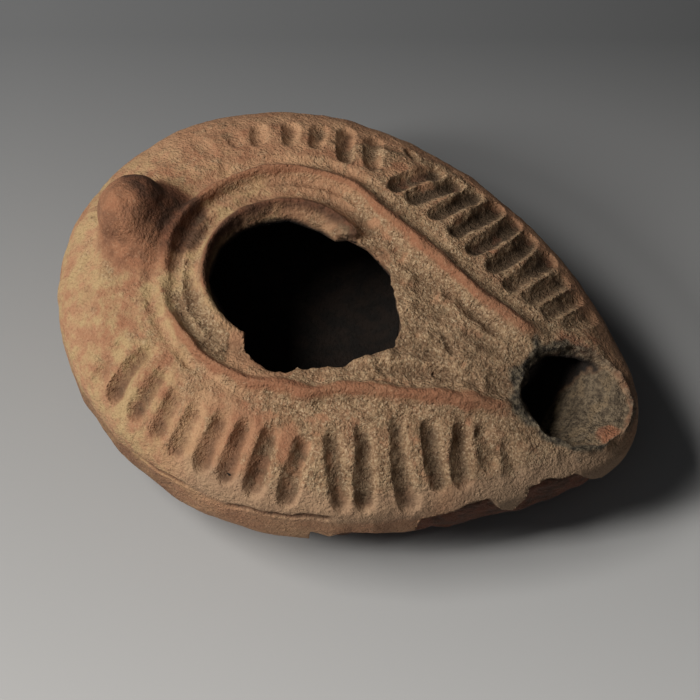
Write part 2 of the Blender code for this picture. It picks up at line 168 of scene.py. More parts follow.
def fbm(x, y, z, size, seed, octaves=3, gain=0.5):
    out, amp, total = 0.0, 1.0, 0.0
    for k in range(octaves):
        out = out + amp * noise(x, y, z, size / 2 ** k, seed + 17 * k)
        total += amp
        amp *= gain
    return out / total


# ------------------------------------------------------------------ plan fields
def polar(x, y):
    ang = np.arctan2(y, x - XC)
    r = np.hypot(x - XC, y)
    return ang, r, np.interp(ang, ANG, RAD), np.interp(ang, ANG, DRAD)


def ridge_distance(x, y):
    """Distance outwards from the crest of the outer ridge."""
    cx, cy, r = RIDGE_BACK
    back = np.hypot(x - cx, (y - cy) * 1.03) - r
    side = (np.abs(y - np.interp(x, RIDGE_X, RIDGE_MID)) - np.interp(x, RIDGE_X, RIDGE_HALF)) * 0.935
    w = smooth(x, -8.0, -2.0)
    return back * (1 - w) + side * w


def line_distance(x, y, pts):
    best = None
    for (x0, y0), (x1, y1) in zip(pts, pts[1:]):
        dx, dy = x1 - x0, y1 - y0
        t = np.clip(((x - x0) * dx + (y - y0) * dy) / (dx * dx + dy * dy), 0, 1)
        d = np.hypot(x - x0 - t * dx, y - y0 - t * dy)
        best = d if best is None else np.minimum(best, d)
    return best


def bump(d, w):
    t = np.clip(np.abs(d) / w, 0, 1)
    return (1 - t * t) ** 2


def hole_table():
    """Distance from the round centre to the edge of the filling hole."""
    ang = np.linspace(-np.pi, np.pi, 1441)
    c, s = np.cos(ang), np.sin(ang)
    b = c * (XC - HOLE[0]) - s * HOLE[1]
    circle = -b + np.sqrt(b * b - ((XC - HOLE[0]) ** 2 + HOLE[1] ** 2 - HOLE[2] ** 2))
    best = np.zeros_like(ang)
    pts = np.array(BREAK) - [XC, 0]
    for (x0, y0), (x1, y1) in zip(pts, np.roll(pts, -1, 0)):
        ex, ey = x1 - x0, y1 - y0
        den = c * ey - s * ex
        den = np.where(np.abs(den) < 1e-9, 1e-9, den)
        t = (x0 * ey - y0 * ex) / den
        u = (x0 * s - y0 * c) / den
        best = np.where((t > 0) & (u >= 0) & (u <= 1), np.maximum(best, t), best)
    broken = smooth(best - circle, 0.0, 0.8)
    r = np.maximum(circle, best)
    k = np.array([1, 2, 3, 2, 1]) / 9.0
    r = np.convolve(np.r_[r[-3:-1], r, r[1:3]], k, "valid")
    jag = 0.16 * noise(40 * c, 40 * s, 0 * c, 5.5, 5) + 0.22 * noise(60 * c, 60 * s, 0 * c, 3.2, 6)
    return ang, r + jag * (0.35 + 0.65 * broken), broken


H_ANG, H_RAD, H_BROKEN = hole_table()


def flute_field(x, y):
    """Depth of the pressed flutes."""
    depth = 0.0
    for rows, width, sharp in ((NEAR_FLUTES, 1.85, 0.50), (BACK_FLUTES, 1.6, 0.5), (FAN_FLUTES, 1.90, 0.45)):
        for x0, y0, x1, y1, d, bend in rows:
            length = math.hypot(x1 - x0, y1 - y0)
            ux, uy = (x1 - x0) / length, (y1 - y0) / length
            s = (x - x0) * ux + (y - y0) * uy
            t = np.clip(s / length, 0, 1)
            e = -(x - x0) * uy + (y - y0) * ux - bend * 4 * t * (1 - t)
            over = np.maximum(np.maximum(-s + 0.9, s - length + np.where(y > 0, 1.7, 1.0)), 0)
            w = width * (0.86 + 0.18 * t)
            a = np.clip(np.hypot(e, over * 0.85) / w, 0, 1)
            depth = np.maximum(depth, (1.0 if rows is FAN_FLUTES else 1.18) * d * (sharp * (1 - a * a) + (1 - sharp) * (1 - a * a) ** 2))
    return depth


def relief(x, y, z):
    """How far the upper surface stands proud of the plain crown."""
    ang, r, rr, _ = polar(x, y)
    deg = np.degrees(ang)
    q = r / rr
    wx = 0.28 * noise(x, y, 0, 4.5, 25)
    wy = 0.28 * noise(x, y, 0, 4.5, 26)
    dk = ridge_distance(x + wx, y + wy)
    rx, ry = x - RING[0], y - RING[1]
    ra = np.degrees(np.arctan2(ry, rx))
    dr = np.hypot(rx, ry) - RING[2] + 0.22 * noise(x, y, 0, 4.0, 27)
    # raised ring, worn away from the break round to its faded end
    turn = np.mod(ra - 50.0, 360.0)                      # 0 at the broken end
    keep = smooth(turn, -1.0, 4.0) * (1 - 0.75 * smooth(turn, 150, 215)) * (1 - smooth(turn, 215, 250)) * np.where(turn < 300, 1.0, 0.0)
    high = 1.75 + 0.30 * noise(x, y, 0, 5.0, 28)
    ring = (high * bump(dr, np.where(dr > 0, 1.75, 2.3)) - 0.35 * bump(dr - 2.2, 1.0)) * keep
    # outer ridge: sharp and thin at the back, broad along the channel
    front = smooth(x, -16, 2)
    wide = np.where(dk > 0, 1.5 + 0.5 * front, 1.5 + 1.3 * front)
    high = (1.40 + 0.10 * front) * (1 - 0.35 * band(np.mod(deg, 360), 190, 230, 25)) * (1 - smooth(x, 25, 31))
    high = high * (1 + 0.20 * noise(x, y, 0, 5.0, 22))
    ridge = high * bump(dk, wide)
    gut = -(0.36 - 0.04 * front) * bump(dk - 2.1, 1.1) * (1 - smooth(x, 22, 29)) * (0.6 + 0.5 * noise(x, y, 0, 4.0, 24))
    turns = np.mod(deg, 360)
    gut = gut - 0.55 * bump(dk + 1.9, 1.1) * (1 - front) * band(turns, 65, 250, 15)
    gut = gut + (0.50 * bump(dk + 3.6, 1.3) - 0.45 * bump(dk + 5.2, 1.0)) * (1 - front) * band(turns, 65, 205, 12)
    # dished field inside the ridge, with low ridges along the channel
    field = -0.85 * (1 - smooth(dk, -4.2, -0.8)) * (1 - smooth(x, 26, 33))
    for pts, h, w in LINES:
        field = field + h * bump(line_distance(x + wx, y + wy, pts), w)
    # fluted shoulder: rounded ribs, hollows between them
    fl = flute_field(x + wx * 0.8, y + wy * 0.8) * (1 + 0.18 * noise(x, y, 0, 3.0, 29))
    rib = 0.35 * band(dk, 2.6, 11.0, 2.0) * band(q, 0.6, 0.93, 0.06)
    pit = -0.9 * bump(line_distance(x, y, ((-3.4, 30.8), (-2.2, 29.8))), 1.0)
    # raised lip round the wick hole
    we = np.hypot((x - WICK[0]) / WICK[2], (y - WICK[1]) / WICK[3])
    dw = (we - 1.0) * 7.4
    lip = 0.95 * bump(dw - 0.7, 1.4) * smooth(x, 30, 37) * (1 + 1.1 * noise(x, y, 0, 1.9, 30))
    lip = lip + 0.7 * bump(np.hypot((x - 43.6) / 1.2, y + 2.4) / 1.6, 1.0)
    # rough lumps of clay and dirt in the field and between the two rings
    rocky = band(dk, -30.0, -0.5, 2.0) * smooth(x, -4, 6) + band(dk, -5.5, -1.5, 1.2) * (1 - smooth(x, -16, -6)) * (1 - smooth(y, -6, 4))
    lumps = 0.60 * rocky * fbm(x, y, 0 * x, 3.2, 33, 3) * (1 - smooth(x, 27, 30))
    return ring + ridge + gut + field + rib - fl + pit + lip + lumps


def base_distance(x, y, z):
    """Distance to the plain body: two mould halves, flat below."""
    ang, r, rr, dr = polar(x, y)
    q = r / rr
    k = 1 + (dr / rr) ** 2
    zz = np.maximum(z - ZS, 0.0) / RISE
    a = q ** TOP_Q + zz ** TOP_Z - 1
    g = np.sqrt((TOP_Q * np.maximum(q, 1e-3) ** (TOP_Q - 1) / rr) ** 2 * k + (TOP_Z * zz ** (TOP_Z - 1) / RISE) ** 2)
    top = a / np.maximum(g, 0.015)
    w = (0.5 * (1 + np.cos(ang))) ** 12
    qb = BASE_Q * (1 - w) + BASE_Q_NOZZLE * w
    pw = LOW_Z * (1 - w) + LOW_Z_NOZZLE * w
    u = np.maximum(q - qb, 0.0) / (1 - qb)
    t = np.maximum(ZS - z, 0.0) / ZS
    tp = np.maximum(t, 1e-4) ** (pw - 1)
    a = u ** LOW_Q + tp * t - 1
    g = np.sqrt((LOW_Q * np.maximum(u, 1e-4) ** (LOW_Q - 1) / ((1 - qb) * rr)) ** 2 * k + (pw * tp / ZS) ** 2)
    low = a / np.maximum(g, 0.015)
    return np.where(z >= ZS, top, low)


# where the upper half's lower edge is: photo-like broken steps on the near side
EDGE = ((-60, 13.0), (-55.5, 12.2), (-53, 14.2), (-47, 13.6), (-43, 13.0), (-37.5, 12.8), (-36.5, 17.6), (-33, 18.2),
        (-28.5, 19.6), (-24, 19.8), (-22.5, 16.0), (-20.5, 15.0), (-19, 17.6), (-17.5, 20.2), (-14, 20.6),
        (-10.5, 20.0), (-9, 17.2), (-7, 14.6), (-5, 11.0), (-3, 6.0))


def edge_height(deg):
    e = np.array(EDGE)
    z = np.interp(deg, e[:, 0], e[:, 1])
    return np.where((deg < e[0, 0]) | (deg > e[-1, 0]), -9.0, z)


def crack_mask(x, y, z, deg, wide):
    e = np.array(CRACK)
    line = np.interp(deg, e[:, 0], e[:, 1]) + 0.5 * noise(x, y, 0 * z, 3.0, 91)
    open_ = smooth(noise(x, y, 0 * z, 9.0, 92) + 0.35, -0.2, 0.2)
    return (1 - smooth(np.abs(z - line), 0.15, wide)) * band(deg, e[0, 0], e[-1, 0], 3.0) * (0.25 + 0.75 * open_)


def knob_distance(x, y, z):
    """A cone between two spheres, foot and head."""
    ax, ay, az = KNOB_FOOT
    bx, by, bz = KNOB_HEAD - KNOB_FOOT
    l2 = bx * bx + by * by + bz * bz
    t = np.clip(((x - ax) * bx + (y - ay) * by + (z - az) * bz) / l2, 0, 1)
    rad = KNOB_FOOT_R + (KNOB_HEAD_R - KNOB_FOOT_R) * t ** 1.0
    lug = np.sqrt((x - ax - t * bx) ** 2 + (y - ay - t * by) ** 2 + (z - az - t * bz) ** 2) - rad
    nx, ny, nz, off = KNOB_FACE
    return smax(lug, x * nx + y * ny + z * nz - off, 2.2)


def field(x, y, z):
    """Signed distance to the clay, negative inside it."""
    ang, r, rr, _ = polar(x, y)
    deg = np.degrees(ang)
    d0 = base_distance(x, y, z)
    rel = relief(x, y, z)
    up = smooth(z, ZS + 0.5, ZS + 3.0)
    outer = d0 - rel * up
    # lower half set back behind the broken edge of the upper half
    edge = edge_height(deg) + 0.35 * noise(x, y, 0 * z, 2.2, 31)
    back = (1.0 + 0.35 * noise(x, y, z, 3.5, 32)) * smooth(edge - z, -0.12, 0.30) * np.where(edge > -5, 1.0, 0.0)
    back = back * (1 - smooth(deg, -6.0, -3.0)) * smooth(q_low_fade(z), 0, 1)
    outer = outer + back
    # crack along the seam of the two halves on the near side
    outer = outer + 0.5 * crack_mask(x, y, z, deg, 0.75)
    # knob, melted into the body
    outer = smin(outer, knob_distance(x, y, z) + 0.30 * fbm(x, y, z, 5.0, 35, 2), 2.4)
    # hollow: the body less its wall, ending in a ramp up to the tip
    wall = WALL + 0.25 * noise(x, y, z, 11.0, 41)
    tip = 1.0 - 0.35 * smooth(x, 34, 44)
    cav = d0 + wall * tip
    steep = (11.3 + (x - 30.0) * 1.15 + 0.05 * (y - 0.5) ** 2 - z) / 1.52
    tray = (19.8 + (x - 37.0) * 0.32 + 0.035 * (y - 0.5) ** 2 - z) / 1.05
    cav = smax(cav, smin(steep, tray, 1.5) + 0.22 * noise(x, y, z, 2.0, 42), 1.5)
    solid = smax(outer, -cav, 0.35)
    # filling hole
    deep = np.clip(29.6 - z, 0.0, 5.0) * (1 - np.interp(ang, H_ANG, H_BROKEN))
    hx, hy = x - HOLE_LEAN[0] * deep - XC, y - HOLE_LEAN[1] * deep
    hang = np.arctan2(hy, hx)
    hb = np.interp(hang, H_ANG, H_BROKEN)
    flare = np.clip(z - 28.9, -4.5, 3) * (0.22 - 0.34 * hb)
    chip = (0.12 + 0.28 * hb) * noise(x, y, z, 2.2, 51)
    hole = np.maximum(np.hypot(hx, hy) - np.interp(hang, H_ANG, H_RAD) - flare - chip, ZS + 3.0 - z)
    solid = smax(solid, -hole, 0.75)
    # wick hole
    taper = 1 + 0.035 * (z - 20.0)
    we = np.hypot((x - WICK[0]) / WICK[2], (y - WICK[1]) / WICK[3])
    wick = (we - taper) * 7.3 - 0.55 * noise(x, y, z, 2.2, 61)
    wick = smax(wick, smin(steep, tray, 1.5) + 0.22 * noise(x, y, z, 2.0, 42), 1.0)
    wick = np.maximum(wick, 10.0 - z)
    solid = smax(solid, -wick, 0.8)
    return np.maximum(solid, 0.0 - z)


def q_low_fade(z):
    """The set-back of the lower half dies out towards the base."""
    return np.clip((z - 1.0) / 6.0, 0, 1)


# --------------------------------------------------------------- surface nets
def surface_nets(f, origin, h):
    inside = f < 0
    nx, ny, nz = f.shape
    c = sum(inside[i:nx - 1 + i, j:ny - 1 + j, k:nz - 1 + k].astype(np.int8)
            for i in (0, 1) for j in (0, 1) for k in (0, 1))
    cells = np.argwhere((c > 0) & (c < 8))
    ids = np.full((nx - 1, ny - 1, nz - 1), -1, np.int32)
    ids[tuple(cells.T)] = np.arange(len(cells))
    corners = [(i, j, k) for i in (0, 1) for j in (0, 1) for k in (0, 1)]
    val = np.stack([f[cells[:, 0] + i, cells[:, 1] + j, cells[:, 2] + k] for i, j, k in corners], 1)
    total = np.zeros((len(cells), 3))
    count = np.zeros(len(cells))
    for a in range(8):
        for b in range(a + 1, 8):
            ca, cb = np.array(corners[a]), np.array(corners[b])
            if abs(ca - cb).sum() != 1:
                continue
            va, vb = val[:, a], val[:, b]
            cross = (va < 0) != (vb < 0)
            t = np.where(cross, va / np.where(cross, va - vb, 1), 0)
            total += np.where(cross[:, None], ca + (cb - ca) * t[:, None], 0)
            count += cross
    verts = origin + (cells + total / count[:, None]) * h
    quads = []
    for axis in range(3):
        a = np.take(inside, range(0, inside.shape[axis] - 1), axis)
        b = np.take(inside, range(1, inside.shape[axis]), axis)
        for flip, hit in ((False, a & ~b), (True, ~a & b)):
            e = np.argwhere(hit)
            u, v = [(1, 2), (2, 0), (0, 1)][axis]
            q = []
            for du, dv in ((0, 0), (1, 0), (1, 1), (0, 1)):
                g = e.copy()
                g[:, u] -= 1 - du
                g[:, v] -= 1 - dv
                q.append(ids[tuple(g.T)])
            q = np.stack(q, 1)
            quads.append(q[:, ::-1] if flip else q)
    return verts, np.concatenate(quads)


def gradient(p, e=0.06):
    x, y, z = p.T
    return np.stack([field(x + e, y, z) - field(x - e, y, z), field(x, y + e, z) - field(x, y - e, z),
                     field(x, y, z + e) - field(x, y, z - e)], 1) / (2 * e)


def build_clay(h):
    lo, hi = np.array([-50.0, -37.0, -1.3]), np.array([49.0, 37.0, 36.2])
    n = np.ceil((hi - lo) / h).astype(int) + 1
    gx, gy, gz = [lo[i] + h * np.arange(n[i]) for i in range(3)]
    f = np.empty(tuple(n), np.float32)
    for start in range(0, n[0], 24):
        xs = gx[start:start + 24][:, None, None]
        f[start:start + 24] = field(xs, gy[None, :, None], gz[None, None, :])
    verts, quads = surface_nets(f, lo, h)
    for _ in range(3):
        g = gradient(verts)
        s = field(*verts.T)
        step = -s[:, None] * g / np.maximum((g * g).sum(1), 0.25)[:, None]
        size = np.linalg.norm(step, axis=1)
        verts = verts + step * np.minimum(1, 0.3 * h / np.maximum(size, 1e-9))[:, None]
    g = gradient(verts)
    normal = g / np.maximum(np.linalg.norm(g, axis=1), 1e-6)[:, None]
    return verts, quads, normal


# ------------------------------------------------------------------ finer wear and painted shade
def masks(p, n):
    """Where the clay is encrusted, sooty, worn, inside or freshly broken, and where shade is painted on."""
    x, y, z = p.T
    ang, r, rr, _ = polar(x, y)
    deg = np.degrees(ang)
    q = r / rr
    d0 = base_distance(x, y, z)
    rel = relief(x, y, z)
    up = smooth(z, ZS + 0.5, ZS + 3.0)
    dk = ridge_distance(x, y)
    n1 = fbm(x, y, z, 9.0, 71, 3)
    n2 = fbm(x, y, z, 3.0, 72, 3)
    n3 = fbm(x, y, z, 1.4, 73, 2)
    knob = 1 - smooth(knob_distance(x, y, z), 0.3, 1.8)
    deep = smooth(-d0, 1.6, 2.6) * np.where(knob > 0.5, 0, 1)
    we = (np.hypot((x - WICK[0]) / WICK[2], (y - WICK[1]) / WICK[3]) - 1 - 0.035 * (z - 20.0)) * 7.3
    mouth = smooth(-we - 0.6 * n3, 0.1, 1.0) * smooth(z, 12.0, 15.0)
    tray = mouth * smooth(x + 0.8 * n2, 27.0, 29.0)
    inner = deep * (1 - tray)
    turn = np.degrees(np.arctan2(y - WICK[1], x - WICK[0]))
    # soot: thick on the side towards the filling hole and along the near rim
    side = 0.35 + 0.65 * (1 - smooth(np.abs(np.mod(turn - 225 + 180, 360) - 180), 60, 130))
    soot = (1 - smooth(we + 1.2 * n2 + 0.8 * n3, 0.2, 1.2 + 1.7 * side)) * smooth(x, 22, 29) * smooth(z, 14, 18) * (0.45 + 0.55 * side)
    soot = soot * (1 - tray * smooth(x, 31, 35))
    soot = np.maximum(soot, 0.35 * smooth(x + 2 * n1, 36, 44) * smooth(q, 0.90, 0.97) * smooth(y + 2 * n2, -8, 4))
    # gritty crust, everywhere but on worn crests, the knob and the outer wall
    crest = np.clip((rel + 0.1) / 1.2, 0, 1) * up
    hollow = np.clip(-rel / 1.1, 0, 1) * up
    place = 0.42 + 0.58 * smooth(x + 9 * n1 + 7 * n2, -18, 12)
    place = np.maximum(place, band(dk, -6.0, -1.2, 1.5) * (1 - smooth(y, -12, -2)) * smooth(np.abs(x + 21), 9, 5))
    crust = place * up * smooth(0.98 - q + 0.02 * n2, 0.02, 0.10) * (1 - 0.75 * smooth(rel, 0.55, 1.1)) * (1 - 0.85 * knob)
    crust = crust * smooth(n2 + 0.9 * n3 + 1.5 * place, 0.3, 1.2)
    crust = np.clip(np.maximum(crust, tray * 0.75) * (1 - inner), 0, 1)
    lipgrit = bump(we - 0.6, 1.6) * smooth(x, 30, 38) * up
    crust = np.maximum(crust, lipgrit * (0.5 + 0.5 * n3))
    crust = np.clip(crust, 0, 1)
    edge = edge_height(deg)
    red = smooth(edge - z, -0.2, 0.4) * np.where(edge > -5, 1.0, 0.0) * (1 - inner) * band(deg, -60, -2, 3)
    tan = (1 - smooth(x + 5 * n1, -26, -8)) * (1 - smooth(y + 5 * n2, 6, 20)) * (1 - knob)
    pale = smooth(x + 4 * n1, 20, 32) * smooth(q, 0.84, 0.93) * (1 - smooth(y, -6, 2)) * (1 - red)
    pale = np.maximum(pale, 0.75 * smooth(q + 0.03 * n2, 0.87, 0.94) * band(x + 3 * n1, -14, 24, 5) * (1 - smooth(y, -20, -10)) * smooth(z, ZS - 1, ZS + 1))
    line = np.interp(deg, [c[0] for c in CRACK], [c[1] for c in CRACK])
    red = np.maximum(red, 0.5 * smooth(line - z + 0.6 * n2, 0.0, 1.2) * band(deg, -140, -96, 8) * (1 - pale))
    # painted shade: darker towards the nozzle, where the light falls off
    nozzle_side_shade = smooth(x + 3 * n1, 2, 36)
    chip = (1 - smooth(np.hypot((x - 43.2) / 2.0, (y + 2.2) / 1.9) + 0.3 * n3, 0.7, 1.1)) * smooth(z, ZS + 1, ZS + 3)
    fresh = np.maximum(chip, 0.75 * (1 - smooth(np.hypot((x - 33.5) / 3.6, (y - 8.6) / 1.3) + 0.3 * n3, 0.7, 1.2)) * up)
    crack = 0.85 * crack_mask(x, y, z, deg, 0.65)
    # ring band: partly its real browner clay, partly painted shade
    rx, ry = x - RING[0], y - RING[1]
    turn = np.mod(np.degrees(np.arctan2(ry, rx)) - 50.0, 360.0)
    circle = bump(np.hypot(rx, ry) - RING[2] + 0.4, 2.1) * smooth(turn, -1, 4) * (1 - smooth(turn, 120, 200)) * up
    # painted shade on the knob's far side, and a painted cast shadow on the body to its right
    painted_knob_shadow = knob * smooth(0.527 * x + 0.85 * y + 0.8 * n2, -20.5, -17.0)
    painted_knob_shadow = np.maximum(painted_knob_shadow, 0.9 * (1 - smooth(np.hypot(x + 31.0, (y - 1.5) * 0.85) + 0.8 * n2, 4.0, 6.0)) * smooth(x, -34, -30))
    # painted shade in the flute valleys, stronger on the far fan
    valley = smooth(flute_field(x, y) + 0.25 * n2, 0.45, 1.35) * up
    painted_flute_shade = valley * (0.52 + 0.30 * smooth(y - 0.35 * x, 8, 12) * smooth(x, -6, -2))
    # painted shade of ring, knob and flutes, together with the real dark crack
    painted_shade_and_crack = np.clip(np.maximum(np.maximum(circle * 0.9, painted_knob_shadow), np.maximum(painted_flute_shade, crack)), 0, 1)
    return dict(inner=inner, tray=tray, painted_shade_and_crack=painted_shade_and_crack, nozzle_side_shade=nozzle_side_shade, soot=np.clip(soot, 0, 1), crust=crust, red=red, crest=crest, hollow=hollow, tan=tan,
                knob=knob, pale=pale, fresh=fresh)


def weather(p, n, m):
    """Uneven wear that the mesh carries: lumps, grit, pits and chipped edges."""
    x, y, z = p.T
    up = smooth(z, 1.0, 3.0)
    outside = 1 - m["inner"]
    soft = 0.20 * fbm(x, y, z, 7.0, 81, 2) + 0.10 * noise(x, y, z, 3.2, 85)
    grit = fbm(x, y, z, 1.3, 82, 2)
    lumps = np.maximum(fbm(x, y, z, 2.1, 83, 2), -0.15)
    rough = 0.65 + 0.65 * m["crust"]
    d = soft * outside + 0.14 * grit * rough + 0.34 * lumps * m["crust"] * (1 - 0.4 * m["crest"])
    d = d - 0.20 * outside
    pits = np.maximum(noise(x, y, z, 1.7, 84) - 0.62, 0) * outside
    d = d - 0.5 * pits * (0.3 + 0.7 * m["crust"])
    d = d + m["red"] * (0.22 * fbm(x, y, z, 2.6, 86, 3) - 0.1)
    return p + n * (d * up)[:, None]


H = 0.40
verts, quads, normal = build_clay(H)
m = masks(verts, normal)
verts = weather(verts, normal, m)

mesh = bpy.data.meshes.new("clay_lamp")
pts = ((verts + SHIFT) * 0.001).astype(np.float32)
mesh.vertices.add(len(pts))
mesh.vertices.foreach_set("co", pts.ravel())
mesh.loops.add(quads.size)
mesh.loops.foreach_set("vertex_index", quads.astype(np.int32).ravel())
mesh.polygons.add(len(quads))
mesh.polygons.foreach_set("loop_start", np.arange(0, quads.size, 4, dtype=np.int32))
mesh.update(calc_edges=True)
mesh.validate()
mesh.polygons.foreach_set("use_smooth", np.ones(len(mesh.polygons), bool))
for name, values in m.items():
    at = mesh.attributes.new("m_" + name, "FLOAT", "POINT")
    at.data.foreach_set("value", values.astype(np.float32))
lamp = bpy.data.objects.new("clay_lamp", mesh)
bpy.context.scene.collection.objects.link(lamp)
print("lamp mesh", len(mesh.vertices), "vertices", len(mesh.polygons), "quads")

# fewer faces where nothing shows: inside the hollow and on the underside
hide = np.maximum(smooth(m["inner"], 0.5, 1.0) * (1 - smooth(verts[:, 0], 24, 30)), 1 - smooth(verts[:, 2], 2.0, 6.0))
group = lamp.vertex_groups.new(name="hidden")
for level in range(0, 5):
    pick = np.nonzero(np.round(hide * 4).astype(int) == level)[0]
    if level and len(pick):
        group.add(pick.tolist(), level / 4, "REPLACE")
target = 196000
tris = len(mesh.polygons) * 2
if tris > target:
    dec = lamp.modifiers.new("fewer", "DECIMATE")
    dec.ratio = target / tris
    dec.vertex_group = "hidden"
    dec.vertex_group_factor = 50.0
    deps = bpy.context.evaluated_depsgraph_get()
    new = bpy.data.meshes.new_from_object(lamp.evaluated_get(deps))
    lamp.modifiers.clear()
    lamp.data = new
    print("after thinning", len(new.vertices), "vertices", sum(len(q.vertices) - 2 for q in new.polygons), "triangles")
mesh = lamp.data
mesh.name = "clay_lamp"


# ------------------------------------------------------------------- materials
class Tree:
    """Small helper for writing node trees."""

    def __init__(self, material):
        material.use_nodes = True
        self.nt = material.node_tree
        self.nt.nodes.clear()

    def node(self, kind, **values):
        n = self.nt.nodes.new(kind)
        for k, v in values.items():
            setattr(n, k, v)
        return n

    def set(self, socket, value):
        if isinstance(value, bpy.types.NodeSocket):
            self.nt.links.new(value, socket)
        elif isinstance(value, (tuple, list)):
            socket.default_value = tuple(value) + ((1.0,) if len(value) == 3 and len(socket.default_value) == 4 else ())
        else:
            socket.default_value = value

    def math(self, op, a, b=0.0, c=None, clamp=False):
        n = self.node("ShaderNodeMath", operation=op, use_clamp=clamp)
        self.set(n.inputs[0], a)
        self.set(n.inputs[1], b)
        if c is not None:
            self.set(n.inputs[2], c)
        return n.outputs[0]

    def mix(self, fac, a, b, blend="MIX"):
        n = self.node("ShaderNodeMix", data_type="RGBA", blend_type=blend)
        self.set(n.inputs[0], fac)
        self.set(n.inputs[6], a)
        self.set(n.inputs[7], b)
        return n.outputs[2]

    def ramp(self, fac, lo, hi, smooth_step=True):
        n = self.node("ShaderNodeMapRange", interpolation_type="SMOOTHSTEP" if smooth_step else "LINEAR")
        self.set(n.inputs[0], fac)
        n.inputs[1].default_value, n.inputs[2].default_value = lo, hi
        n.inputs[3].default_value, n.inputs[4].default_value = 0.0, 1.0
        return n.outputs[0]

    def noise(self, vec, scale, detail=3.0, rough=0.55, dist=0.0):
        n = self.node("ShaderNodeTexNoise")
        self.set(n.inputs["Vector"], vec)
        n.inputs["Scale"].default_value = scale
        n.inputs["Detail"].default_value = detail
        n.inputs["Roughness"].default_value = rough
        n.inputs["Distortion"].default_value = dist
        return n.outputs["Fac"]

    def voronoi(self, vec, scale, feature="F1", rand=1.0):
        n = self.node("ShaderNodeTexVoronoi", feature=feature)
        self.set(n.inputs["Vector"], vec)
        n.inputs["Scale"].default_value = scale
        n.inputs["Randomness"].default_value = rand
        return n.outputs["Distance"]

    def attr(self, name):
        return self.node("ShaderNodeAttribute", attribute_name=name).outputs["Fac"]


def srgb(r, g, b):
    def lin(c):
        c /= 255.0
        return c / 12.92 if c <= 0.04045 else ((c + 0.055) / 1.055) ** 2.4
    return (lin(r), lin(g), lin(b))


